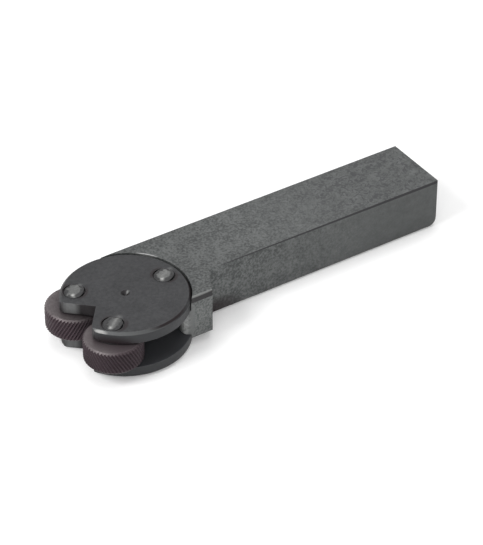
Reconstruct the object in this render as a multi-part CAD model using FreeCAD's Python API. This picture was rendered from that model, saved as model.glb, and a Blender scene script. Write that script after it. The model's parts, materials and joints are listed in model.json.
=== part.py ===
import FreeCAD, Part
import math
import os

from FreeCAD import Vector

# Knurling tool with two diagonal wheels in a head that rocks in the holder. Sizes in millimetres.
# Everything is drawn about the axis that the head rocks on, with Z = 0 on the shank's underside
# and the shank running towards +X. The last step moves it all to the middle of that underside.

# Shank
shank_width = 25.0
shank_height = 17.5
head_axis_to_rear = 117.0
long_edge_chamfer = 0.6
rear_corner_radius = 3.0

# Block beside the head, with its slanted shoulder
block_inside_rim = 6.0
block_behind_head = 2.2
shoulder_length = 5.2
block_underside_raise = 2.8
block_edge_chamfer = 1.2

# Knurling wheels, their pins and thrust washers
wheel_diameter = 19.0
wheel_width = 8.0
wheel_chamfer = 0.75
wheel_bore_play = 0.05
wheel_gap = 1.6
pin_diameter = 6.0
washer_diameter = 9.0
washer_thickness = 0.6
washer_bore_play = 0.1
stack_play = 0.1

# Diagonal teeth, measured square to the tooth
tooth_pitch = 1.0
tooth_depth = 0.45
helix_angle = 30.0
helix_spans = 4

# Head: a turned spool of two flanges and a hub
head_diameter = 41.0
wheel_pin_to_rim = 4.6
swing_pin_to_rim = 5.7
underside_gap = 0.2
rim_chamfer = 0.8
hub_wheel_gap = 0.4
notch_depth = 9.4
notch_half_angle = 47.5
notch_corner_radius = 2.8
pin_fit = 0.02
countersink_diameter = 7.2
countersink_depth = 0.6
pin_end_above = 0.6
pin_end_bevel = 0.6
centre_hole_diameter = 3.0
centre_hole_depth = 1.6

# Rocking seat
head_rest_turn = 4.5
swing_each_way = 6.0
seat_play = 0.05
recess_gap = 0.25
flange_face_gap = 0.1
swing_slot_play = 0.15
tongue_wheel_gap = 2.0
nose_inside_rim = 11.0
slot_shoulder_inside_rim = 7.5
slot_corner_radius = 2.5

# Sizes that follow from those above
head_radius = head_diameter / 2
wheel_pins_from_axis = head_radius - wheel_pin_to_rim
swing_pin_from_axis = head_radius - swing_pin_to_rim
block_side_from_axis = head_radius - block_inside_rim
block_rear_from_axis = head_radius + block_behind_head
nose_half_width = head_radius - nose_inside_rim
shoulder_in_slot = head_radius - slot_shoulder_inside_rim
wheel_radius = wheel_diameter / 2
pin_radius = pin_diameter / 2
near_side = head_radius - shank_width
slot_height = wheel_width + 2 * (washer_thickness + stack_play)
flange_thickness = (shank_height - underside_gap - slot_height) / 2
slot_floor = underside_gap + flange_thickness
slot_roof = slot_floor + slot_height
hub_radius = wheel_pins_from_axis - wheel_radius - hub_wheel_gap
wheel_half_angle = math.degrees(math.asin((wheel_radius + wheel_gap / 2) / wheel_pins_from_axis))
recess_radius = head_radius + recess_gap
tongue_bottom = slot_floor + flange_face_gap
tongue_top = slot_roof - flange_face_gap
widest_swing = math.radians(wheel_half_angle + swing_each_way)
wheel_reach_back = wheel_radius - wheel_pins_from_axis * math.cos(widest_swing)
tongue_front = wheel_reach_back + tongue_wheel_gap
shank_middle_x = (block_rear_from_axis + shoulder_length + head_axis_to_rear) / 2
shank_middle_y = near_side + shank_width / 2
past = 1.0

nodes = {}


def polar(radius, degrees, z=0.0):
    angle = math.radians(degrees)
    return Vector(radius * math.cos(angle), radius * math.sin(angle), z)


def cylinder(radius, bottom, top, centre=Vector(0, 0, 0)):
    return Part.makeCylinder(radius, top - bottom, Vector(centre.x, centre.y, bottom))


def prism(edges, bottom, top):
    face = Part.Face(Part.Wire(edges))
    face.translate(Vector(0, 0, bottom))
    return face.extrude(Vector(0, 0, top - bottom))


def polygon_prism(points, bottom, top):
    corners = [Vector(x, y, 0) for x, y in points]
    return prism(Part.makePolygon(corners + corners[:1]).Edges, bottom, top)


def revolved(profile):
    corners = [Vector(r, 0, z) for r, z in profile]
    face = Part.Face(Part.makePolygon(corners + corners[:1]))
    return face.revolve(Vector(0, 0, 0), Vector(0, 0, 1), 360)


def arc(start, middle, end):
    return Part.Arc(start, middle, end).toShape()


def edges_where(shape, test):
    found = []
    for edge in shape.Edges:
        ends = [vertex.Point for vertex in edge.Vertexes]
        if len(ends) == 2 and test(ends[0], ends[1]):
            found.append(edge)
    return found


def near(value, target):
    return abs(value - target) < 1e-4


def both(a, b, axis, target):
    return near(getattr(a, axis), target) and near(getattr(b, axis), target)


def swing_slot(bottom, top):
    half_width = pin_radius + swing_slot_play
    inner = swing_pin_from_axis - half_width
    outer = swing_pin_from_axis + half_width
    turn = swing_each_way
    edges = [
        arc(polar(outer, -turn), polar(outer, 0), polar(outer, turn)),
        arc(polar(outer, turn), slot_end(half_width, turn, 1), polar(inner, turn)),
        arc(polar(inner, turn), polar(inner, 0), polar(inner, -turn)),
        arc(polar(inner, -turn), slot_end(half_width, -turn, -1), polar(outer, -turn)),
    ]
    return prism(edges, bottom, top)


def slot_end(half_width, turn, side):
    along = polar(half_width * side, turn + 90)
    return polar(swing_pin_from_axis, turn) + along


def holder():
    block_side = -block_side_from_axis
    outline = [
        (head_axis_to_rear, near_side),
        (head_axis_to_rear, head_radius),
        (tongue_front, head_radius),
        (tongue_front, -nose_half_width),
        (shoulder_in_slot, -nose_half_width),
        (shoulder_in_slot, block_side),
        (block_rear_from_axis, block_side),
        (block_rear_from_axis + shoulder_length, near_side),
    ]
    body = polygon_prism(outline, 0, shank_height)
    under_block = Part.makeBox(
        block_rear_from_axis + shoulder_length,
        block_side_from_axis + past,
        block_underside_raise + past,
        Vector(0, near_side - block_side_from_axis - past, -past),
    )
    body = body.cut(under_block)
    rear_bottom = edges_where(body, lambda a, b: both(a, b, "x", head_axis_to_rear) and both(a, b, "z", 0))
    body = body.makeFillet(rear_corner_radius, rear_bottom)

    def long_edge(a, b):
        on_side = both(a, b, "y", near_side) or both(a, b, "y", head_radius)
        on_face = both(a, b, "z", 0) or both(a, b, "z", shank_height)
        return on_side and on_face

    body = body.makeChamfer(long_edge_chamfer, edges_where(body, long_edge))

    def slot_corner(a, b):
        return both(a, b, "x", shoulder_in_slot) and both(a, b, "y", block_side)

    body = body.makeFillet(slot_corner_radius, edges_where(body, slot_corner))
    block_edges = edges_where(body, lambda a, b: both(a, b, "y", block_side) and both(a, b, "z", shank_height))
    body = body.makeChamfer(block_edge_chamfer, block_edges)
    cuts = [
        cylinder(recess_radius, tongue_top, shank_height + past),
        cylinder(recess_radius, -past, tongue_bottom),
        cylinder(hub_radius + seat_play, -past, shank_height + past),
        swing_slot(-past, shank_height + past),
    ]
    for tool in cuts:
        body = body.cut(tool)
    return body.removeSplitter()


def notch():
    half = math.radians(notch_half_angle)
    apex = Vector(notch_depth - head_radius, 0, 0)
    ring = head_radius - notch_corner_radius
    fall = (notch_corner_radius + apex.x * math.sin(half)) / ring
    corner = 180 - notch_half_angle - math.degrees(math.asin(fall))
    centre = polar(ring, corner)
    on_side = centre - Vector(math.sin(half), math.cos(half), 0) * notch_corner_radius
    on_rim = polar(head_radius, corner)
    between = (on_side - centre) + (on_rim - centre)
    bulge = centre + between.normalize() * notch_corner_radius
    beyond = polar(head_radius + 3 * rim_chamfer, corner)

    def mirrored(point):
        return Vector(point.x, -point.y, 0)

    edges = [
        Part.makeLine(apex, on_side),
        arc(on_side, bulge, on_rim),
        Part.makeLine(on_rim, beyond),
        arc(beyond, Vector(-beyond.Length, 0, 0), mirrored(beyond)),
        Part.makeLine(mirrored(beyond), mirrored(on_rim)),
        arc(mirrored(on_rim), mirrored(bulge), mirrored(on_side)),
        Part.makeLine(mirrored(on_side), apex),
    ]
    return prism(edges, -past, shank_height + past)


def pin_places():
    return {
        "wheel_pin_left": polar(wheel_pins_from_axis, 180 - wheel_half_angle),
        "wheel_pin_right": polar(wheel_pins_from_axis, 180 + wheel_half_angle),
        "swing_pin": polar(swing_pin_from_axis, 0),
    }


def rocking_head():
    rim = head_radius
    top = shank_height
    profile = [
        (0, underside_gap),
        (rim - rim_chamfer, underside_gap),
        (rim, underside_gap + rim_chamfer),
        (rim, slot_floor),
        (hub_radius, slot_floor),
        (hub_radius, slot_roof),
        (rim, slot_roof),
        (rim, top - rim_chamfer),
        (rim - rim_chamfer, top),
        (0, top),
    ]
    body = revolved(profile).cut(notch())
    widening = countersink_diameter / 2
    for place in pin_places().values():
        body = body.cut(cylinder(pin_radius + pin_fit, -past, top + past, place))
        body = body.cut(cylinder(widening, top - countersink_depth, top + past, place))
        body = body.cut(cylinder(widening, -past, underside_gap + countersink_depth, place))
    mouth = centre_hole_diameter / 2
    for face, inward in ((top, -1), (underside_gap, 1)):
        hole = Part.makeCone(mouth, 0, centre_hole_depth, Vector(0, 0, face), Vector(0, 0, inward))
        body = body.cut(hole)
    return body


def pin(place):
    top = shank_height + pin_end_above
    bottom = underside_gap
    edge = pin_radius - pin_end_bevel
    crown = edge - pin_end_bevel
    half = pin_end_bevel / 2
    profile = [
        (0, bottom),
        (crown, bottom),
        (edge, bottom + half),
        (pin_radius, bottom + half + pin_end_bevel),
        (pin_radius, top - half - pin_end_bevel),
        (edge, top - half),
        (crown, top),
        (0, top),
    ]
    shape = revolved(profile)
    shape.translate(place)
    return shape


def washer(place, bottom):
    ring = cylinder(washer_diameter / 2, bottom, bottom + washer_thickness, place)
    return ring.cut(cylinder(pin_radius + washer_bore_play, bottom - past, bottom + past, place))


def star_wire(z, turn, count):
    points = []
    root = wheel_radius - tooth_depth
    for i in range(count):
        points.append(polar(wheel_radius, 360 * i / count + turn, z))
        points.append(polar(root, 360 * (i + 0.5) / count + turn, z))
    return Part.makePolygon(points + points[:1])


def knurl_wheel(place, hand):
    bottom = slot_floor + washer_thickness + stack_play
    helix = math.radians(helix_angle)
    count = round(math.pi * wheel_diameter * math.cos(helix) / tooth_pitch)
    twist = math.degrees(wheel_width * math.tan(helix) / wheel_radius) * hand
    sections = []
    for i in range(helix_spans + 1):
        share = i / helix_spans
        sections.append(star_wire(bottom + wheel_width * share, twist * share, count))
    toothed = Part.makeLoft(sections, True, True)
    top = bottom + wheel_width
    rim = wheel_radius - wheel_chamfer
    bore = pin_radius + wheel_bore_play
    envelope = [
        (bore, bottom),
        (rim, bottom),
        (wheel_radius + past, bottom + wheel_chamfer + past),
        (wheel_radius + past, top - wheel_chamfer - past),
        (rim, top),
        (bore, top),
    ]
    shape = toothed.common(revolved(envelope))
    shape.translate(place)
    return shape


def turned(shape):
    shape.rotate(Vector(0, 0, 0), Vector(0, 0, 1), head_rest_turn)
    return shape


def write_all():
    os.makedirs("parts", exist_ok=True)
    for name, shape in nodes.items():
        shape.translate(Vector(-shank_middle_x, -shank_middle_y, 0))
        solid = shape.Solids[0] if len(shape.Solids) == 1 else Part.makeCompound(shape.Solids)
        solid.exportStep("parts/" + name + ".step")
        print(name, len(shape.Solids), solid.isValid(), round(solid.Volume, 1))


nodes["holder"] = holder()
nodes["rocking_head"] = turned(rocking_head())
places = pin_places()
for pin_name, pin_place in places.items():
    nodes[pin_name] = turned(pin(pin_place))
for side, hand in (("left", 1), ("right", -1)):
    wheel_place = places["wheel_pin_" + side]
    nodes["knurl_wheel_" + side] = turned(knurl_wheel(wheel_place, hand))
    nodes["lower_washer_" + side] = turned(washer(wheel_place, slot_floor))
    nodes["upper_washer_" + side] = turned(washer(wheel_place, slot_roof - washer_thickness))
write_all()
print("head axis at", -shank_middle_x, -shank_middle_y)
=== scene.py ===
import bpy
import json
import math
from mathutils import Matrix, Vector, noise


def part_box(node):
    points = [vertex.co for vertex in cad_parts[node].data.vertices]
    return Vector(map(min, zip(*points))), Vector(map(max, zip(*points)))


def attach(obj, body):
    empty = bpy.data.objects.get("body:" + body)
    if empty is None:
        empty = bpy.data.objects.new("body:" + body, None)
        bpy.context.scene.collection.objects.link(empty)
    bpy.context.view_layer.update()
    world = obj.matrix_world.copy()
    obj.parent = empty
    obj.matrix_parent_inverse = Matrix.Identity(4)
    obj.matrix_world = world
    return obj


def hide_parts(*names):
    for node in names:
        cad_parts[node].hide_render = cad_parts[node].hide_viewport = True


# Knurling tool: a dark steel holder, a blackened rocking head and two diagonal knurling wheels.
# Lengths are in metres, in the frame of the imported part.

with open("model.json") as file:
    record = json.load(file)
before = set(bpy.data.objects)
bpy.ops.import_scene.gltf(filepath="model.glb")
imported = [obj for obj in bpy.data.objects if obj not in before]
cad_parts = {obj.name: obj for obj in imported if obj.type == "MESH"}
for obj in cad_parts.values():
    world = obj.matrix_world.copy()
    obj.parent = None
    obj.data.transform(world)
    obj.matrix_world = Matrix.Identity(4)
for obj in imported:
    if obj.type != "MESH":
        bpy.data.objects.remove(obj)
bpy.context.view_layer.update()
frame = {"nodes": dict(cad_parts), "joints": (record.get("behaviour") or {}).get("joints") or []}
nodes = frame["nodes"]
joints = {joint["name"]: joint for joint in frame["joints"]}
mm = 0.001
print("frame loaded:", sorted(nodes))

photo = {"width": 483, "height": 545}
headAxis = Vector(joints["head_rock"]["pos_m"])
leftWheelAxis = Vector(joints["wheel_left_spin"]["pos_m"])
rightWheelAxis = Vector(joints["wheel_right_spin"]["pos_m"])


# small helpers for node trees

def addNode(tree, kind, **options):
    node = tree.nodes.new(kind)
    for name, value in options.items():
        setattr(node, name, value)
    return node


def feed(tree, socket, value):
    # the value is another node's output, a number, a vector, or a colour without its alpha
    if isinstance(value, bpy.types.NodeSocket):
        tree.links.new(value, socket)
    elif socket.type == "RGBA":
        socket.default_value = (*value, 1.0)
    else:
        socket.default_value = value


def feedNamed(tree, node, values):
    for name, value in values.items():
        feed(tree, node.inputs[name], value)


def mathNode(tree, operation, *values, clamp=False):
    node = addNode(tree, "ShaderNodeMath", operation=operation, use_clamp=clamp)
    for socket, value in zip(node.inputs, values):
        feed(tree, socket, value)
    return node.outputs[0]


def product(tree, first, *others):
    for other in others:
        first = mathNode(tree, "MULTIPLY", first, other)
    return first


def vectorNode(tree, operation, *values):
    node = addNode(tree, "ShaderNodeVectorMath", operation=operation)
    for socket, value in zip(node.inputs, values):
        feed(tree, socket, value)
    return node.outputs["Value" if operation in ("LENGTH", "DOT_PRODUCT") else "Vector"]


def rangeNode(tree, value, low, high, toLow=0.0, toHigh=1.0):
    node = addNode(tree, "ShaderNodeMapRange", clamp=True)
    limits = {"Value": value, "From Min": low, "From Max": high, "To Min": toLow, "To Max": toHigh}
    feedNamed(tree, node, limits)
    return node.outputs["Result"]


mixSockets = {"FLOAT": (2, 3, 0), "RGBA": (6, 7, 2)}  # the two inputs and the output of each kind


def mixNode(tree, kind, factor, first, second, blend="MIX"):
    node = addNode(tree, "ShaderNodeMix", data_type=kind, blend_type=blend)
    firstSocket, secondSocket, result = mixSockets[kind]
    for index, value in ((0, factor), (firstSocket, first), (secondSocket, second)):
        feed(tree, node.inputs[index], value)
    return node.outputs[result]


def mixColour(tree, factor, first, second, blend="MIX"):
    return mixNode(tree, "RGBA", factor, first, second, blend)


def noiseNode(tree, vector, scale, detail=3.0, roughness=0.6, distortion=0.0):
    node = addNode(tree, "ShaderNodeTexNoise")
    values = {"Vector": vector, "Scale": scale, "Detail": detail}
    feedNamed(tree, node, {**values, "Roughness": roughness, "Distortion": distortion})
    return node.outputs["Fac"]


def objectCoords(tree):
    return addNode(tree, "ShaderNodeTexCoord").outputs["Object"]


def trueNormal(tree):
    return addNode(tree, "ShaderNodeNewGeometry").outputs["True Normal"]


def pointMark(tree, name):
    return addNode(tree, "ShaderNodeAttribute", attribute_name=name).outputs["Fac"]


def splitVector(tree, vector):
    node = addNode(tree, "ShaderNodeSeparateXYZ")
    feed(tree, node.inputs[0], vector)
    return tuple(node.outputs)


arrangement = {"columnWidth": 220, "rowHeight": -260}


def arrange(tree):
    # one column for each step towards the output, so that the tree reads from left to right
    columns = {node.name: 0 for node in tree.nodes}
    moved = True
    while moved:
        moved = False
        for link in tree.links:
            needed = columns[link.from_node.name] + 1
            if columns[link.to_node.name] < needed:
                columns[link.to_node.name] = needed
                moved = True
    filled = {}
    for name, column in columns.items():
        row = filled.get(column, 0)
        filled[column] = row + 1
        place = (column * arrangement["columnWidth"], row * arrangement["rowHeight"])
        tree.nodes[name].location = place


# node groups: effects that several finishes use

floatSocket = "NodeSocketFloat"
vectorSocket = "NodeSocketVector"


def newGroup(name, inputs, outputs):
    group = bpy.data.node_groups.new(name, "ShaderNodeTree")
    for socketName, default in inputs.items():
        kind = vectorSocket if isinstance(default, tuple) else floatSocket
        socket = group.interface.new_socket(socketName, in_out="INPUT", socket_type=kind)
        socket.default_value = default
    for socketName, kind in outputs.items():
        group.interface.new_socket(socketName, in_out="OUTPUT", socket_type=kind)
    given = addNode(group, "NodeGroupInput").outputs
    results = addNode(group, "NodeGroupOutput")
    return group, given, results


def placeGroup(tree, group, values):
    node = addNode(tree, "ShaderNodeGroup", node_tree=group)
    feedNamed(tree, node, values)
    return node.outputs


# blasted grain: a fine sandy tone with soft clouds under it, sizes in millimetres

# each layer's size and detail, and the noise that counts as dark and as light
grainLayers = (("Fine Size", 2.0, 0.33, 0.67), ("Cloud Size", 3.0, 0.3, 0.7))


def buildBlastGrain():
    group, given, results = newGroup(
        "blastGrain",
        {"Fine Size": 0.5, "Cloud Size": 4.0, "Cloud Share": 0.35},
        {"Tone": floatSocket, "Height": floatSocket},
    )
    coords = objectCoords(group)
    tones = []
    for size, detail, dark, light in grainLayers:
        scale = mathNode(group, "DIVIDE", 1 / mm, given[size])
        tones.append(rangeNode(group, noiseNode(group, coords, scale, detail), dark, light))
    tone = mixNode(group, "FLOAT", given["Cloud Share"], *tones)
    feedNamed(group, results, {"Tone": tone, "Height": tones[0]})
    arrange(group)
    return group


# edge rub: where a corner is bent away from its rounded neighbour

edgeRubShape = {"samples": 6, "bend": (0.995, 0.88), "patchScale": 900.0, "patches": (0.35, 0.65)}


def buildEdgeRub():
    shape = edgeRubShape
    group, given, results = newGroup(
        "edgeRub",
        {"Radius": 0.4 * mm, "Breakup": 0.5},
        {"Mask": floatSocket, "Normal": vectorSocket},
    )
    bevel = addNode(group, "ShaderNodeBevel", samples=shape["samples"])
    feed(group, bevel.inputs["Radius"], given["Radius"])
    rounded = bevel.outputs["Normal"]
    plain = addNode(group, "ShaderNodeNewGeometry").outputs["Normal"]
    edge = rangeNode(group, vectorNode(group, "DOT_PRODUCT", rounded, plain), *shape["bend"])
    patches = noiseNode(group, objectCoords(group), shape["patchScale"])
    broken = product(group, rangeNode(group, patches, *shape["patches"]), given["Breakup"])
    solid = mathNode(group, "SUBTRACT", 1.0, given["Breakup"])
    share = mathNode(group, "ADD", broken, solid)
    feedNamed(group, results, {"Mask": product(group, edge, share), "Normal": rounded})
    arrange(group)
    return group


# soft spot: 1 at a place on the part, fading to 0 at the given reach along each axis

def buildSoftSpot():
    group, given, results = newGroup(
        "softSpot",
        {"Place": (0.0, 0.0, 0.0), "Reach": (0.01, 0.01, 0.01), "Core": 0.5},
        {"Mask": floatSocket},
    )
    shift = vectorNode(group, "SUBTRACT", objectCoords(group), given["Place"])
    away = vectorNode(group, "LENGTH", vectorNode(group, "DIVIDE", shift, given["Reach"]))
    feedNamed(group, results, {"Mask": rangeNode(group, away, given["Core"], 1.0, 1.0, 0.0)})
    arrange(group)
    return group


# the next three are measured from a centre line that stands up

def fromCentre(group, given):
    shift = vectorNode(group, "SUBTRACT", objectCoords(group), given["Centre"])
    flat = vectorNode(group, "MULTIPLY", shift, (1.0, 1.0, 0.0))
    return flat, vectorNode(group, "LENGTH", flat)


def betweenRadii(group, given, radius, innerEdge, outerEdge):
    past = mathNode(group, "SUBTRACT", radius, given["Inner"])
    short = mathNode(group, "SUBTRACT", given["Outer"], radius)
    past = mathNode(group, "DIVIDE", past, innerEdge, clamp=True)
    short = mathNode(group, "DIVIDE", short, outerEdge, clamp=True)
    return product(group, past, short)


# turned rings: fine grooves, their pitch in millimetres

grooves = {"noise": {"scale": 1.0, "detail": 2.0, "roughness": 0.7}, "tones": (0.3, 0.7)}


def buildTurnedRings():
    group, given, results = newGroup(
        "turnedRings",
        {"Centre": (0.0, 0.0, 0.0), "Pitch": 0.25},
        {"Tone": floatSocket, "Height": floatSocket},
    )
    radius = fromCentre(group, given)[1]
    along = addNode(group, "ShaderNodeCombineXYZ")
    pitches = mathNode(group, "DIVIDE", radius, given["Pitch"])
    feed(group, along.inputs["X"], product(group, pitches, 1 / mm))
    rings = noiseNode(group, along.outputs[0], **grooves["noise"])
    tone = rangeNode(group, rings, *grooves["tones"])
    feedNamed(group, results, {"Tone": tone, "Height": rings})
    arrange(group)
    return group


# ring band: 1 between two radii

def buildRingBand():
    group, given, results = newGroup(
        "ringBand",
        {"Centre": (0.0, 0.0, 0.0), "Inner": 0.01, "Outer": 0.011, "Edge": 0.08 * mm},
        {"Mask": floatSocket},
    )
    radius = fromCentre(group, given)[1]
    mask = betweenRadii(group, given, radius, given["Edge"], given["Edge"])
    feedNamed(group, results, {"Mask": mask})
    arrange(group)
    return group


# pockets: the two sides of a ring, left and right of a line through its centre

pocketsShape = {"innerEdge": 0.1 * mm, "outerEdge": 0.6 * mm, "beside": (0.45, 0.9)}


def buildPockets():
    shape = pocketsShape
    group, given, results = newGroup(
        "pockets",
        {"Centre": (0.0, 0.0, 0.0), "Across": (1.0, 0.0, 0.0), "Inner": 0.003, "Outer": 0.0036},
        {"Mask": floatSocket},
    )
    flat, radius = fromCentre(group, given)
    aside = vectorNode(group, "DOT_PRODUCT", flat, given["Across"])
    share = mathNode(group, "DIVIDE", mathNode(group, "ABSOLUTE", aside), radius)
    ring = betweenRadii(group, given, radius, shape["innerEdge"], shape["outerEdge"])
    mask = product(group, ring, rangeNode(group, share, *shape["beside"]))
    feedNamed(group, results, {"Mask": mask})
    arrange(group)
    return group


blastGrain = buildBlastGrain()
edgeRub = buildEdgeRub()
softSpot = buildSoftSpot()
turnedRings = buildTurnedRings()
ringBand = buildRingBand()
pockets = buildPockets()
print("node groups ready")


# materials

def newMaterial(name):
    material = bpy.data.materials.new(name)
    material.use_nodes = True
    tree = material.node_tree
    return material, tree, tree.nodes["Principled BSDF"]


def finishSteel(tree, shader, look, colour, roughness, height, normal=None):
    bump = addNode(tree, "ShaderNodeBump")
    strength, distance = look["bump"]
    feedNamed(tree, bump, {"Height": height, "Strength": strength, "Distance": distance})
    if normal is not None:
        feed(tree, bump.inputs["Normal"], normal)
    feedNamed(tree, shader, {
        "Base Color": colour,
        "Metallic": look["metallic"],
        "Roughness": roughness,
        "Specular IOR Level": look["specular"],
        "Normal": bump.outputs["Normal"],
    })
    arrange(tree)


def spotMask(tree, place, reach, core):
    return placeGroup(tree, softSpot, {"Place": place, "Reach": reach, "Core": core})["Mask"]


# in the looks of holder and head, a spot is its place from the head's axis, with its height
# over the floor, its reach along x, y and z, and its core, and a ring goes round that axis

def headSpot(tree, spot):
    (x, y, z), reach, core = spot
    return spotMask(tree, (headAxis.x + x, headAxis.y + y, z), reach, core)


def headRing(tree, ring):
    return placeGroup(tree, ringBand, {"Centre": tuple(headAxis), **ring})["Mask"]


levelSlope = (0.8, 0.95)  # how upright a normal is where a face begins to count as level

holderLook = {
    "dark": (0.042, 0.045, 0.045),
    "light": (0.106, 0.111, 0.110),
    "flake": (0.040, 0.041, 0.044),
    "curl": (0.130, 0.136, 0.134),
    "chamfer": (0.022, 0.021, 0.023),
    "blockChamfer": (0.022, 0.021, 0.022),
    "litSlotSide": (0.195, 0.20, 0.198),
    "litSlotFront": (0.68, 0.69, 0.68),
    "cornerShadow": (0.013, 0.007, 0.008),
    # painted highlight on the seat's lip
    "lip": (0.42, 0.42, 0.42),
    "rub": (0.21, 0.215, 0.21),
    "blockLightGain": (1.10, 1.10, 1.09),
    "topGains": (0.885, 0.94),  # near the head and at the rear
    "sideLightGains": (1.25, 0.88),
    "metallic": 0.35,
    "specular": 0.5,
    "roughness": (0.63, 0.50),  # of dark and light grains
    "bump": (0.35, 0.00006),
    "sandy": {"Fine Size": 0.75, "Cloud Size": 5.0, "Cloud Share": 0.35},
    "blotchy": {"Fine Size": 3.0, "Cloud Size": 9.0, "Cloud Share": 0.45},
    "worn": {"Radius": 0.00025, "Breakup": 0.7},
    # stretches along x
    "coarse": (-0.030, 0.030, 0.1, 0.75),
    "rearHalf": (-0.025, 0.015),
    "middleFront": (-0.045, -0.020),
    "middleRear": (0.035, 0.010),
    "headward": (-0.020, -0.045),
    "rearmost": (0.005, 0.030),
    "bevelStart": (-0.043, -0.034),
    "bevelFoot": (-0.030, 0.040, 0.01722, 0.01685),
    # the block's stretch along y, and how far each kind of face turns to its side
    "nearest": (-0.017, -0.019),
    "nearSlope": (-0.8, -0.95),
    "blockSlope": (-0.5, -0.7),
    "frontSlope": (-0.5, -0.92),
    "bevelSlope": (-0.3, -0.45),
    # contrast of the grain on sides and top, and by coarseness near the head
    "contrast": (0.3, 1.2),
    "headContrast": (0.2, 0.6, 2.0, 0.35),
    "bends": {"scale": 560.0, "detail": 3.0, "roughness": 0.5, "distortion": 1.4},
    "flakes": (0.53, 0.58),
    "curlLine": 0.46,
    "curls": (0.03, 0.005),
    "cornerShadowScale": 300.0,
    "cornerShadowPatches": (0.3, 0.6, 0.75, 1.0),
    "bevelEdge": 0.0001,
    "flakeShare": 0.8,
    "curlShare": 0.4,
    "cornerGrain": 0.7,
    "edgeShare": 0.6,
    "cornerShadowShare": 0.95,
    "rubShare": 0.3,
    "blockSpot": ((0.0155, -0.0125, 0.009), (0.0125, 0.006, 0.02), 0.7),
    "cornerSpot": ((0.0137, -0.0137, 0.009), (0.0034, 0.0034, 0.012), 0.3),
    "edgeSpot": ((0.0185, -0.01315, 0.0175), (0.008, 0.0005, 0.001), 0.6),
    "cornerShadowSpot": ((0.0245, -0.0045, 0.0), (0.018, 0.008, 0.0072), 0.55),
    "lipHighlightSpot": ((0.0158, 0.0132, 0.0175), (0.004, 0.004, 0.001), 0.5),
    "lipHighlightRing": {"Inner": 0.02072, "Outer": 0.0211},
}


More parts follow.
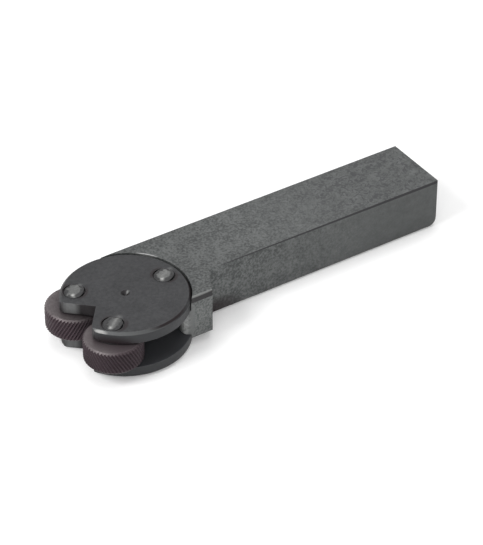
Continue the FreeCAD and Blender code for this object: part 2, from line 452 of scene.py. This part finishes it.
def makeHolderSteel():
    look = holderLook
    material, tree, shader = newMaterial("holderSteel")
    coords = objectCoords(tree)
    x, y, z = splitVector(tree, coords)
    slopeX, slopeY, slopeZ = splitVector(tree, trueNormal(tree))
    upward = rangeNode(tree, slopeZ, *levelSlope)

    # sandy near the head, blotchy towards the rear
    sandy = placeGroup(tree, blastGrain, look["sandy"])
    blotchy = placeGroup(tree, blastGrain, look["blotchy"])
    coarse = rangeNode(tree, x, *look["coarse"])
    tone = mixNode(tree, "FLOAT", coarse, sandy["Tone"], blotchy["Tone"])
    contrast = rangeNode(tree, upward, 0.0, 1.0, *look["contrast"])
    headContrast = rangeNode(tree, coarse, *look["headContrast"])
    contrast = mathNode(tree, "MAXIMUM", contrast, headContrast)
    spread = product(tree, mathNode(tree, "SUBTRACT", tone, 0.5), contrast)
    spread = mathNode(tree, "ADD", spread, 0.5)
    colour = mixColour(tree, spread, look["dark"], look["light"])

    # dark flakes in the rear half's coating, and light curls further forward
    bends = noiseNode(tree, coords, **look["bends"])
    rearTop = product(tree, rangeNode(tree, x, *look["rearHalf"]), upward)
    flake = product(tree, rangeNode(tree, bends, *look["flakes"]), rearTop, look["flakeShare"])
    colour = mixColour(tree, flake, colour, look["flake"])
    ridge = mathNode(tree, "ABSOLUTE", mathNode(tree, "SUBTRACT", bends, look["curlLine"]))
    middleFront = rangeNode(tree, x, *look["middleFront"])
    middle = product(tree, middleFront, rangeNode(tree, x, *look["middleRear"]))
    curl = product(tree, rangeNode(tree, ridge, *look["curls"]), look["curlShare"])
    curl = product(tree, curl, mathNode(tree, "MAXIMUM", middle, rearTop))
    colour = mixColour(tree, curl, colour, look["curl"])

    # the top is a little darker at both ends; painted light: the side is lighter near the head,
    # where more light falls
    nearSide = rangeNode(tree, slopeY, *look["nearSlope"])
    stretches = [rangeNode(tree, x, *look[stretch]) for stretch in ("headward", "rearmost")]
    for face, gains in ((upward, look["topGains"]), (nearSide, look["sideLightGains"])):
        for stretch, gain in zip(stretches, gains):
            share = product(tree, face, stretch)
            colour = mixColour(tree, share, colour, (gain, gain, gain), "MULTIPLY")

    # painted light: the block's side is painted brighter, up to the rounded corner of the slot
    sideways = mathNode(tree, "MINIMUM", slopeY, slopeX)
    facing = rangeNode(tree, sideways, *look["blockSlope"])
    onSide = product(tree, headSpot(tree, look["blockSpot"]), facing)
    colour = mixColour(tree, onSide, colour, look["blockLightGain"], "MULTIPLY")
    # painted light on the slot's rounded corner, lightest where it faces the front
    frontward = rangeNode(tree, slopeX, *look["frontSlope"])
    cornerLight = mixColour(tree, frontward, look["litSlotSide"], look["litSlotFront"])
    cornerGrain = product(tree, sandy["Tone"], look["cornerGrain"])
    cornerLight = mixColour(tree, cornerGrain, cornerLight, look["dark"])
    onCorner = product(tree, headSpot(tree, look["cornerSpot"]), facing)
    colour = mixColour(tree, onCorner, colour, cornerLight)

    # dark bevels on the near side, worn away beside the head, and the block's rubbed edge
    onBevel = rangeNode(tree, product(tree, slopeY, slopeZ), *look["bevelSlope"])
    nearest = rangeNode(tree, y, *look["nearest"])
    rearward = rangeNode(tree, x, *look["bevelStart"])
    foot = rangeNode(tree, x, *look["bevelFoot"])
    above = mathNode(tree, "SUBTRACT", z, foot)
    above = mathNode(tree, "DIVIDE", above, look["bevelEdge"], clamp=True)
    for kept in (rearward, above):
        onBevel = product(tree, onBevel, mathNode(tree, "MAXIMUM", kept, nearest))
    colour = mixColour(tree, onBevel, colour, look["chamfer"])
    colour = mixColour(tree, product(tree, onBevel, nearest), colour, look["blockChamfer"])
    blockEdge = product(tree, headSpot(tree, look["edgeSpot"]), look["edgeShare"])
    colour = mixColour(tree, blockEdge, colour, look["rub"])

    # painted shadow in the corner between block and shank, broken into patches
    patches = noiseNode(tree, coords, look["cornerShadowScale"])
    patches = rangeNode(tree, patches, *look["cornerShadowPatches"])
    shadowed = product(tree, headSpot(tree, look["cornerShadowSpot"]), patches, look["cornerShadowShare"])
    colour = mixColour(tree, shadowed, colour, look["cornerShadow"])

    # painted highlight on the lip of the seat behind the head
    onLitLip = product(tree, headRing(tree, look["lipHighlightRing"]), headSpot(tree, look["lipHighlightSpot"]))
    colour = mixColour(tree, onLitLip, colour, look["lip"])

    worn = placeGroup(tree, edgeRub, look["worn"])
    unbevelled = mathNode(tree, "SUBTRACT", 1.0, onBevel)
    rubbed = product(tree, worn["Mask"], look["rubShare"], unbevelled)
    colour = mixColour(tree, rubbed, colour, look["rub"])
    roughness = rangeNode(tree, tone, 0.0, 1.0, *look["roughness"])
    finishSteel(tree, shader, look, colour, roughness, sandy["Height"], worn["Normal"])
    return material


# peened pins: the way each ridge runs, its painted highlight and the smear it left on the head

pinEnds = [
    {
        "name": "peenedPinLeft",
        "node": "wheel_pin_left",
        "shift": (0.0, 0.0),
        "ridge": math.radians(40),
        "halfLength": 2.75 * mm,
        "halfWidth": 2.15 * mm,
        "tone": 0.85,
        "streak": 0.1,
        "pinHighlight": math.radians(-128),
        "glint": 0.8,
        "flare": math.radians(30),
        "flareReach": 0.9 * mm,
    },
    {
        "name": "peenedPinRight",
        "node": "wheel_pin_right",
        "shift": (0.4 * mm, -0.25 * mm),
        "ridge": math.radians(40),
        "halfLength": 2.9 * mm,
        "halfWidth": 1.8 * mm,
        "tone": 0.38,
        "streak": 0.6,
        "pinHighlight": math.radians(-137),
        "glint": 0.45,
        "flare": math.radians(30),
        "flareReach": 1.6 * mm,
    },
    {
        "name": "peenedSwingPin",
        "node": "swing_pin",
        "shift": (0.0, 0.0),
        "ridge": math.radians(34),
        "halfLength": 2.45 * mm,
        "halfWidth": 1.95 * mm,
        "tone": 0.95,
        "streak": 0.3,
        "pinHighlight": math.radians(-134),
        "glint": 0.7,
        "flare": math.radians(30),
        "flareReach": 1.1 * mm,
    },
]


headLook = {
    "dark": (0.018, 0.0182, 0.0198),
    "light": (0.043, 0.0434, 0.0458),
    "wall": (0.034, 0.035, 0.037),
    "litRecess": (0.062, 0.064, 0.070),
    "reddishShade": (0.023, 0.016, 0.018),
    "notchShade": (0.014, 0.012, 0.013),
    "litBareMetal": (0.125, 0.127, 0.127),
    "bevel": (0.070, 0.072, 0.073),
    "bevelHighlight": (0.20, 0.20, 0.195),
    "shadeTone": (0.014, 0.010, 0.011),
    "flare": (0.105, 0.107, 0.105),
    "rub": (0.12, 0.12, 0.125),
    "metallic": 0.4,
    "specular": 0.3,
    "roughness": (0.2, 0.8, 0.48, 0.38),
    "bump": (0.2, 0.00002),
    "grain": {"Fine Size": 1.0, "Cloud Size": 9.0, "Cloud Share": 0.4},
    "ringPitch": 0.35,
    "ringShare": 0.3,
    "worn": {"Radius": 0.0003, "Breakup": 0.6},
    "rubShare": 0.35,
    "shadeShare": 0.9,
    "holeShare": 0.5,
    # how upright a wall is, how far a notch's side turns away, and the bevel's two limits
    "wallSlope": (0.3, 0.1),
    "notchSlope": (0.5, 0.0),
    "bevelFrom": (0.5, 0.65),
    "bevelTo": (0.92, 0.8),
    "bareGrain": (0.7, 1.0),
    "flareGrain": (0.4, 0.9),
    "recessSpot": ((0.0, 0.0, 0.0041), (0.03, 0.03, 0.0008), 0.9),
    "lobeSpot": ((-0.0130, -0.0145, 0.0125), (0.012, 0.010, 0.0042), 0.35),
    "litFrontSpot": ((-0.0085, -0.0185, 0.0175), (0.017, 0.017, 0.004), 0.4),
    "bevelHighlightSpot": ((-0.0158, -0.0119, 0.0169), (0.0026, 0.0026, 0.0007), 0.4),
    "lineSpot": ((0.0050, -0.0192, 0.0175), (0.009, 0.009, 0.002), 0.5),
    "bevelShadeSpot": ((0.0185, -0.0070, 0.0172), (0.008, 0.0095, 0.002), 0.5),
    "glintSpot": ((0.0011, 0.0003, 0.0172), (0.0007, 0.0007, 0.0012), 0.3),
    "notchRing": {"Inner": 0.009, "Outer": 0.0204},
    "cornerRing": {"Inner": 0.0148, "Outer": 0.0204, "Edge": 0.0018},
    "lineRing": {"Inner": 0.0196, "Outer": 0.0203},
    "holeRing": {"Inner": -0.001, "Outer": 0.0015},
    "pocketRing": {"Inner": 0.0029, "Outer": 0.0047},
    "flareRadius": 3.75 * mm,
    "flareHeight": 17.5 * mm,
    "flareCore": 0.2,
}


def makeHeadSteel():
    look = headLook
    material, tree, shader = newMaterial("headSteel")
    grain = placeGroup(tree, blastGrain, look["grain"])
    ringValues = {"Centre": tuple(headAxis), "Pitch": look["ringPitch"]}
    rings = placeGroup(tree, turnedRings, ringValues)
    tone = mixNode(tree, "FLOAT", look["ringShare"], grain["Tone"], rings["Tone"])
    colour = mixColour(tree, tone, look["dark"], look["light"])
    slopeY, slopeZ = splitVector(tree, trueNormal(tree))[1:]
    upright = rangeNode(tree, mathNode(tree, "ABSOLUTE", slopeZ), *look["wallSlope"])
    colour = mixColour(tree, upright, colour, look["wall"])

    # painted light: the lower flange's upper face, seen through the slot, is painted lighter and a
    # little bluer
    level = rangeNode(tree, slopeZ, *levelSlope)
    onRecess = product(tree, headSpot(tree, look["recessSpot"]), level)
    colour = mixColour(tree, onRecess, colour, look["litRecess"])

    # painted shade, tinted red as a painted reflection of the wheel, on the rim beside the notch,
    # over the right wheel
    onLobe = product(tree, headSpot(tree, look["lobeSpot"]), upright)
    colour = mixColour(tree, onLobe, colour, look["reddishShade"])

    # the notch's sides: bare metal at the rounded corners, painted lighter there as lit, and
    # painted shade in the depth
    inNotch = product(tree, headRing(tree, look["notchRing"]), upright)
    colour = mixColour(tree, inNotch, colour, look["notchShade"])
    inward = rangeNode(tree, slopeY, *look["notchSlope"])
    bareGrain = rangeNode(tree, grain["Tone"], 0.0, 1.0, *look["bareGrain"])
    litBareMetal = product(tree, headRing(tree, look["cornerRing"]), inNotch, inward, bareGrain)
    colour = mixColour(tree, litBareMetal, colour, look["litBareMetal"])

    # the rim's bevel is worn and painted lighter at the front, where the light falls, and has a
    # painted highlight beside the notch
    bevelFrom = rangeNode(tree, slopeZ, *look["bevelFrom"])
    onBevel = product(tree, bevelFrom, rangeNode(tree, slopeZ, *look["bevelTo"]))
    for spot, bevelLight in (("litFrontSpot", "bevel"), ("bevelHighlightSpot", "bevelHighlight")):
        worn = product(tree, onBevel, headSpot(tree, look[spot]))
        colour = mixColour(tree, worn, colour, look[bevelLight])

    # painted shade: a dark line where that bevel starts, on the side of the block, and the bevel
    # painted dark further round
    onLine = product(tree, headRing(tree, look["lineRing"]), headSpot(tree, look["lineSpot"]))
    colour = mixColour(tree, onLine, colour, look["shadeTone"])
    bevelShade = product(tree, onBevel, headSpot(tree, look["bevelShadeSpot"]), look["shadeShare"])
    colour = mixColour(tree, bevelShade, colour, look["shadeTone"])

    # painted shade in pockets beside the pins, and light smears
    flareGrain = rangeNode(tree, grain["Tone"], 0.0, 1.0, *look["flareGrain"])
    for end in pinEnds:
        lowest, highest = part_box(end["node"])
        middle = (lowest + highest) / 2
        centre = (middle.x + end["shift"][0], middle.y + end["shift"][1], middle.z)
        across = (-math.sin(end["ridge"]), math.cos(end["ridge"]), 0.0)
        values = {"Centre": centre, "Across": across, **look["pocketRing"]}
        pocket = product(tree, placeGroup(tree, pockets, values)["Mask"], look["shadeShare"])
        colour = mixColour(tree, pocket, colour, look["shadeTone"])
        flareX = middle.x + look["flareRadius"] * math.cos(end["flare"])
        flareY = middle.y + look["flareRadius"] * math.sin(end["flare"])
        flarePlace = (flareX, flareY, look["flareHeight"])
        flare = spotMask(tree, flarePlace, (end["flareReach"],) * 3, look["flareCore"])
        colour = mixColour(tree, product(tree, flare, flareGrain), colour, look["flare"])

    # painted shade and a painted highlight in the centre hole
    hole = product(tree, headRing(tree, look["holeRing"]), look["holeShare"])
    colour = mixColour(tree, hole, colour, look["shadeTone"])
    colour = mixColour(tree, headSpot(tree, look["glintSpot"]), colour, look["flare"])

    worn = placeGroup(tree, edgeRub, look["worn"])
    colour = mixColour(tree, product(tree, worn["Mask"], look["rubShare"]), colour, look["rub"])
    roughness = rangeNode(tree, tone, *look["roughness"])
    finishSteel(tree, shader, look, colour, roughness, rings["Height"], worn["Normal"])
    return material


wheelLook = {
    "root": (0.046, 0.031, 0.037),
    "body": (0.056, 0.039, 0.046),
    "crest": (0.072, 0.052, 0.060),
    "rim": (0.124, 0.109, 0.111),
    "face": (0.060, 0.050, 0.053),
    "wheelShade": (0.012, 0.009, 0.010),
    "metallic": 0.35,
    "specular": 0.2,
    "roughness": (0.50, 0.37),
    "bump": (0.2, 0.00002),
    "grain": {"Fine Size": 0.5, "Cloud Size": 3.0, "Cloud Share": 0.5},
    "ringPitch": 0.3,
    "ringShare": 0.6,
    "flanks": (0.0, 0.75),
    "crests": (0.8, 1.0),
    "rimGrain": (0.0, 0.8, 0.3, 1.0),
    "shadeHeight": 9 * mm,
    "shadeCore": 0.15,
    "dullCore": 0.5,
}


def makeWheelSteel(wheel):
    look = wheelLook
    material, tree, shader = newMaterial(wheel["steel"])
    crest = pointMark(tree, "crest")
    grain = placeGroup(tree, blastGrain, look["grain"])
    ringValues = {"Centre": tuple(wheel["axis"]), "Pitch": look["ringPitch"]}
    rings = placeGroup(tree, turnedRings, ringValues)
    flank = mixColour(tree, rangeNode(tree, crest, *look["flanks"]), look["root"], look["body"])
    rubbed = product(tree, rangeNode(tree, crest, *look["crests"]), grain["Tone"])
    teeth = mixColour(tree, rubbed, flank, look["crest"])
    # painted light and shade: each wheel's teeth and face are scaled lighter or darker for the
    # light on that wheel
    teeth = mixColour(tree, 1.0, teeth, (wheel["teethLightGain"],) * 3, "MULTIPLY")
    ringTone = product(tree, rings["Tone"], look["ringShare"])
    face = mixColour(tree, ringTone, look["face"], look["body"])
    face = mixColour(tree, 1.0, face, (wheel["faceLightGain"],) * 3, "MULTIPLY")
    colour = mixColour(tree, pointMark(tree, "face"), teeth, face)
    rimGrain = rangeNode(tree, grain["Tone"], *look["rimGrain"])
    rimWear = product(tree, pointMark(tree, "rim"), rimGrain)
    for place, reach, strength in wheel["dullSpots"]:
        dull = spotMask(tree, place, (reach, reach, reach), look["dullCore"])
        shiny = mathNode(tree, "SUBTRACT", 1.0, product(tree, dull, strength))
        rimWear = product(tree, rimWear, shiny)
    colour = mixColour(tree, rimWear, colour, look["rim"])
    # painted shade on the wheel
    for place, reach, strength in wheel["shadeSpots"]:
        wheelShade = spotMask(tree, place, (reach, reach, look["shadeHeight"]), look["shadeCore"])
        colour = mixColour(tree, product(tree, wheelShade, strength), colour, look["wheelShade"])
    roughness = rangeNode(tree, grain["Tone"], 0.0, 1.0, *look["roughness"])
    finishSteel(tree, shader, look, colour, roughness, grain["Height"])
    return material


pinLook = {
    "dark": (0.030, 0.030, 0.031),
    "light": (0.125, 0.127, 0.125),
    "streak": (0.24, 0.24, 0.235),
    "pinHighlight": (0.42, 0.42, 0.41),
    "metallic": 0.6,
    "specular": 0.5,
    "roughness": (0.48, 0.32),
    "bump": (0.4, 0.00005),
    "grain": {"Fine Size": 0.6, "Cloud Size": 2.0, "Cloud Share": 0.5},
    "patches": (0.6, 1.1),
}


def makePinSteel():
    look = pinLook
    material, tree, shader = newMaterial("pinSteel")
    grain = placeGroup(tree, blastGrain, look["grain"])
    patches = rangeNode(tree, grain["Tone"], 0.0, 1.0, *look["patches"])
    colour = look["dark"]
    # the flattened patch is polished and painted lighter as lit, the rest keeps the dark tone as
    # painted shade, and a painted highlight sits near the rim
    for mark, tone in (("polishAndLight", "light"), ("streak", "streak")):
        share = product(tree, pointMark(tree, mark), patches)
        colour = mixColour(tree, share, colour, look[tone])
    colour = mixColour(tree, pointMark(tree, "pinHighlight"), colour, look["pinHighlight"])
    roughness = rangeNode(tree, grain["Tone"], 0.0, 1.0, *look["roughness"])
    finishSteel(tree, shader, look, colour, roughness, grain["Height"])
    return material


washerLook = {
    "dark": (0.03, 0.03, 0.031),
    "light": (0.05, 0.05, 0.051),
    "metallic": 0.5,
    "specular": 0.5,
    "roughness": 0.45,
    "bump": (0.2, 0.00003),
    "grain": {"Fine Size": 0.5, "Cloud Size": 3.0, "Cloud Share": 0.5},
    "worn": {"Radius": 0.0002, "Breakup": 0.4},
}


def makeWasherSteel():
    look = washerLook
    material, tree, shader = newMaterial("washerSteel")
    grain = placeGroup(tree, blastGrain, look["grain"])
    worn = placeGroup(tree, edgeRub, look["worn"])
    colour = mixColour(tree, grain["Tone"], look["dark"], look["light"])
    finishSteel(tree, shader, look, colour, look["roughness"], grain["Height"], worn["Normal"])
    return material


def dress(nodeName, material):
    piece = nodes[nodeName]
    piece.data.materials.clear()
    piece.data.materials.append(material)


pinSteel = makePinSteel()
washerSteel = makeWasherSteel()
dress("holder", makeHolderSteel())
dress("rocking_head", makeHeadSteel())
for layer in ("lower", "upper"):
    for side in ("left", "right"):
        dress(layer + "_washer_" + side, washerSteel)
print("steel finishes on the frame's pieces")


# meshes made from rings of points

def meshPiece(name, points, faces, material, smooth):
    mesh = bpy.data.meshes.new(name)
    mesh.from_pydata(points, [], faces)
    mesh.update()
    mesh.materials.append(material)
    if smooth:
        mesh.shade_smooth()
    piece = bpy.data.objects.new(name, mesh)
    bpy.context.scene.collection.objects.link(piece)
    return piece


def ringFaces(ringCount, columns, closed=False):
    faces = []
    for ring in range(ringCount if closed else ringCount - 1):
        here = ring * columns
        above = (ring + 1) % ringCount * columns
        for column in range(columns):
            beside = (column + 1) % columns
            faces.append((here + column, here + beside, above + beside, above + column))
    return faces


def markPoints(piece, marks):
    for label, values in marks.items():
        attribute = piece.data.attributes.new(label, "FLOAT", "POINT")
        attribute.data.foreach_set("value", values)


# knurling wheels: diagonal teeth with rubbed crests, cut through bevelled rims

wheelShape = {
    "teethPitch": 1.0 * mm,
    "toothDepth": 0.45 * mm,
    "helix": math.radians(30),
    "rimBevel": 0.75 * mm,
    "crestShare": 0.14,
    "rootShare": 0.10,
    "pointsPerTooth": 8,
    "bevelSteps": 5,
    "sideSteps": 14,
    "boreBevel": 0.3 * mm,
    "boreRadius": 3.05 * mm,
    "faceCrest": 0.9,  # the crest mark on the faces and in the bore
    "slack": 1e-7,  # how near its limit a point counts as cut by the bevel
}


def toothHeight(phase):
    # 1 on the crest, 0 in the root, straight flanks between
    distance = abs((phase % 1.0) - 0.5) * 2
    low = wheelShape["crestShare"]
    high = 1 - wheelShape["rootShare"]
    return 1 - min(1.0, max(0.0, (distance - low) / (high - low)))


def makeWheel(wheel):
    shape = wheelShape
    axis = wheel["axis"]
    lowest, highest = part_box(wheel["node"])
    radius = (highest.x - lowest.x) / 2
    width = highest.z - lowest.z
    teeth = round(2 * math.pi * radius * math.cos(shape["helix"]) / shape["teethPitch"])
    columns = teeth * shape["pointsPerTooth"]
    bevel = shape["rimBevel"]
    bevelSteps = shape["bevelSteps"]
    heights = [bevel * step / bevelSteps for step in range(bevelSteps + 1)]
    straight = (width - 2 * bevel) / shape["sideSteps"]
    heights += [bevel + straight * step for step in range(1, shape["sideSteps"])]
    heights += [width - z for z in reversed(heights[: bevelSteps + 1])]
    points = []
    marks = {"crest": [], "face": [], "rim": []}

    def addPoint(angle, r, z, crest, face, rim):
        x = axis.x + r * math.cos(angle)
        y = axis.y + r * math.sin(angle)
        points.append((x, y, lowest.z + z))
        for label, value in (("crest", crest), ("face", face), ("rim", rim)):
            marks[label].append(float(value))

    angles = [2 * math.pi * column / columns for column in range(columns)]
    for z in heights:
        limit = radius - bevel + min(z, width - z)
        lean = wheel["hand"] * (z - width / 2) * math.tan(shape["helix"]) / radius
        for angle in angles:
            height = toothHeight((angle - lean) * teeth / (2 * math.pi))
            r = min(limit, radius - shape["toothDepth"] * (1 - height))
            cutByBevel = limit < radius - shape["slack"] and r >= limit - shape["slack"]
            addPoint(angle, r, z, height, z in (0.0, width), cutByBevel)
    bore = shape["boreRadius"]
    edge = shape["boreBevel"]
    boreRings = ((bore + edge, width), (bore, width - edge), (bore, edge), (bore + edge, 0.0))
    for r, z in boreRings:
        for angle in angles:
            addPoint(angle, r, z, shape["faceCrest"], True, False)
    faces = ringFaces(len(heights) + len(boreRings), columns, closed=True)
    piece = meshPiece(wheel["name"], points, faces, makeWheelSteel(wheel), smooth=False)
    markPoints(piece, marks)
    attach(piece, wheel["body"])
    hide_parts(wheel["node"])


# painted shade where the wheels come closest and under the head's rim, and the right rim's lighter
# wear is dimmed at its front; each spot is its place, reach and strength
nip = (leftWheelAxis + rightWheelAxis) / 2
# the two wheel steels are lit and shaded copies of one finish
wheels = [
    {
        "name": "diagonalWheelLeft",
        "node": "knurl_wheel_left",
        "body": "wheel_left",
        "axis": leftWheelAxis,
        "hand": 1,
        "steel": "leftWheelSteel",
        "teethLightGain": 1.0,
        "faceLightGain": 0.62,
        "shadeSpots": [((nip.x - 0.001, nip.y + 0.0015, 0.0125), 0.0065, 0.62)],
        "dullSpots": [],
    },
    {
        "name": "diagonalWheelRight",
        "node": "knurl_wheel_right",
        "body": "wheel_right",
        "axis": rightWheelAxis,
        "hand": -1,
        "steel": "rightWheelSteel",
        "teethLightGain": 0.78,
        "faceLightGain": 1.28,
        "shadeSpots": [
            ((nip.x + 0.003, nip.y, 0.0125), 0.0065, 0.68),
            ((rightWheelAxis.x - 0.0096, rightWheelAxis.y + 0.0005, 0.005), 0.0055, 0.42),
        ],
        "dullSpots": [
            ((rightWheelAxis.x + 0.0004, rightWheelAxis.y - 0.0095, 0.0125), 0.0075, 0.8),
        ],
    },
]
for knurlingWheel in wheels:
    makeWheel(knurlingWheel)
print("knurling wheels made")


# pins with peened ends

pinShape = {
    "columns": 64,
    "domeRings": 14,
    "tip": 0.001,  # share of the radius that the innermost ring keeps
    "edgeDrop": 0.24 * mm,
    "dents": 0.26 * mm,
    "dentSize": 0.7 * mm,
    "wobbleSize": 1.1 * mm,
    "patchWobble": 0.4,
    "patchEdge": (0.9, 1.05),
    "lipSpread": 0.52 * mm,
    "lipDrop": 0.08 * mm,
    "lipWobble": 0.25,
    "lipEnds": (0.25, 0.95),
    "neckDepth": 1.1 * mm,
    "streakSize": 0.65 * mm,
    "pinHighlightRadius": 2.45 * mm,
    "pinHighlightSize": 0.5 * mm,
}


def smoothStep(low, high, value):
    share = min(1.0, max(0.0, (value - low) / (high - low)))
    return share * share * (3 - 2 * share)


def ray(angle):
    return Vector((math.cos(angle), math.sin(angle)))


def makePin(end):
    # a flattened, dented patch runs along the ridge, the sides fall away from it,
    # and the rim is spread outwards at the ridge's two ends
    shape = pinShape
    lowest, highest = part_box(end["node"])
    centre = (lowest + highest) / 2
    radius = (highest.x - lowest.x) / 2
    along = ray(end["ridge"])
    across = Vector((-along.y, along.x))
    shiny = ray(end["pinHighlight"]) * shape["pinHighlightRadius"]
    rimDepth = shape["edgeDrop"] + shape["dents"]
    last = shape["domeRings"] - 1
    rings = [("dome", (step + shape["tip"]) / (last + shape["tip"])) for step in range(last)]
    rings += [("lip", 0.0), ("lip", 0.5), ("lip", 1.0), ("neck", 1.0)]
    points = []
    marks = {"polishAndLight": [], "streak": [], "pinHighlight": []}
    for level, outward in ((highest.z, 1), (lowest.z, -1)):
        for kind, share in rings if outward > 0 else reversed(rings):
            for column in range(shape["columns"]):
                out = ray(2 * math.pi * column / shape["columns"])
                spot = out * radius * (share if kind == "dome" else 1.0)
                grain = Vector((spot.x, spot.y, level))
                wobble = noise.noise(grain / shape["wobbleSize"] + centre / mm)
                dent = 0.5 + 0.5 * noise.noise(grain / shape["dentSize"] + centre / mm)
                inPatch = spot - Vector(end["shift"])
                aside = inPatch.dot(across)
                reach = math.hypot(inPatch.dot(along) / end["halfLength"], aside / end["halfWidth"])
                patch = 1 - smoothStep(*shape["patchEdge"], reach + shape["patchWobble"] * wobble)
                if kind == "dome":
                    depth = shape["dents"] * dent + shape["edgeDrop"] * (1 - patch)
                elif kind == "lip":
                    atEnds = abs(out.dot(along)) + shape["lipWobble"] * wobble
                    atEnds = smoothStep(*shape["lipEnds"], atEnds)
                    spot += out * shape["lipSpread"] * share * atEnds
                    depth = rimDepth + shape["lipDrop"] * share
                else:
                    depth = shape["neckDepth"]
                points.append((centre.x + spot.x, centre.y + spot.y, level - outward * depth))
                ridge = aside / shape["streakSize"]
                away = (spot - shiny).length / shape["pinHighlightSize"]
                marks["polishAndLight"].append(end["tone"] * patch)
                marks["streak"].append(end["streak"] * patch * math.exp(-ridge * ridge))
                marks["pinHighlight"].append(end["glint"] * math.exp(-away * away))
    count = 2 * len(rings)
    faces = [tuple(reversed(face)) for face in ringFaces(count, shape["columns"])]
    topRing = range(shape["columns"])
    bottomRing = [(count - 1) * shape["columns"] + column for column in topRing]
    faces += [tuple(topRing), tuple(reversed(bottomRing))]
    piece = meshPiece(end["name"], points, faces, pinSteel, smooth=True)
    markPoints(piece, marks)
    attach(piece, "head")
    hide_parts(end["node"])


for pinEnd in pinEnds:
    makePin(pinEnd)
print("pins made")


# floor, light and camera

white = (1.0, 1.0, 1.0)


def shadeRays(tree):
    rays = addNode(tree, "ShaderNodeLightPath").outputs
    seen = mathNode(tree, "MAXIMUM", rays["Is Camera Ray"], rays["Is Glossy Ray"])
    return mathNode(tree, "MAXIMUM", seen, rays["Is Transmission Ray"])


floorLook = {
    "size": 4.0,
    "drop": 0.1 * mm,
    "colour": (0.9, 0.9, 0.9),
    "roughness": 0.9,
    "ownLight": 0.12,
}


def makeFloor():
    look = floorLook
    half = look["size"] / 2
    sides = ((-half, -half), (half, -half), (half, half), (-half, half))
    corners = [(x, y, -look["drop"]) for x, y in sides]
    material, tree, shader = newMaterial("paleFloor")
    feedNamed(tree, shader, {
        "Base Color": look["colour"],
        "Roughness": look["roughness"],
        "Emission Color": white,
        "Emission Strength": product(tree, shadeRays(tree), look["ownLight"]),
    })
    arrange(tree)
    floor = meshPiece("paleFloor", corners, [(0, 1, 2, 3)], material, smooth=False)


worldLook = {"ambient": 0.62, "seen": 1.0}


def makeWorld():
    look = worldLook
    world = bpy.data.worlds.new("softRoom")
    bpy.context.scene.world = world
    world.use_nodes = True
    tree = world.node_tree
    strength = rangeNode(tree, shadeRays(tree), 0.0, 1.0, look["ambient"], look["seen"])
    feedNamed(tree, tree.nodes["Background"], {"Color": white, "Strength": strength})
    arrange(tree)


lampLook = [
    {"name": "headLamp", "place": (-0.624, 0.03, 0.58), "size": 0.34, "power": 3.6},
    {"name": "frontLamp", "place": (-0.55, -0.75, 0.55), "size": 0.6, "power": 2.8},
    {"name": "topLamp", "place": (0.25, 0.25, 1.0), "size": 1.0, "power": 3.6},
]


def makeLamps():
    for look in lampLook:
        light = bpy.data.lights.new(look["name"], "AREA")
        light.size = look["size"]
        light.energy = look["power"]
        lamp = bpy.data.objects.new(look["name"], light)
        lamp.location = look["place"]
        aim = headAxis - Vector(look["place"])
        lamp.rotation_euler = aim.to_track_quat("-Z", "Y").to_euler()
        bpy.context.scene.collection.objects.link(lamp)


cameraLook = {
    "azimuth": math.radians(-33.11),
    "elevation": math.radians(36.93),
    "focalPixels": 2676.6,
    "sensor": 36.0,
    "place": (-0.401516, -0.578326, 0.519520),
    "clip": (0.01, 20.0),
}


def makeCamera():
    look = cameraLook
    a = look["azimuth"]
    e = look["elevation"]
    back = Vector((math.sin(a) * math.cos(e), -math.cos(a) * math.cos(e), math.sin(e)))
    right = Vector((math.cos(a), math.sin(a), 0))
    up = back.cross(right)
    data = bpy.data.cameras.new("camera")
    data.sensor_width = look["sensor"]
    data.lens = look["focalPixels"] * look["sensor"] / max(photo["width"], photo["height"])
    data.clip_start, data.clip_end = look["clip"]
    camera = bpy.data.objects.new("camera", data)
    turn = Matrix((right, up, back)).transposed().to_4x4()
    camera.matrix_world = Matrix.Translation(look["place"]) @ turn
    bpy.context.scene.collection.objects.link(camera)
    bpy.context.scene.camera = camera


makeFloor()
makeWorld()
makeLamps()
makeCamera()
bpy.context.scene.view_settings.view_transform = "Standard"
print("floor, lamps and camera ready")
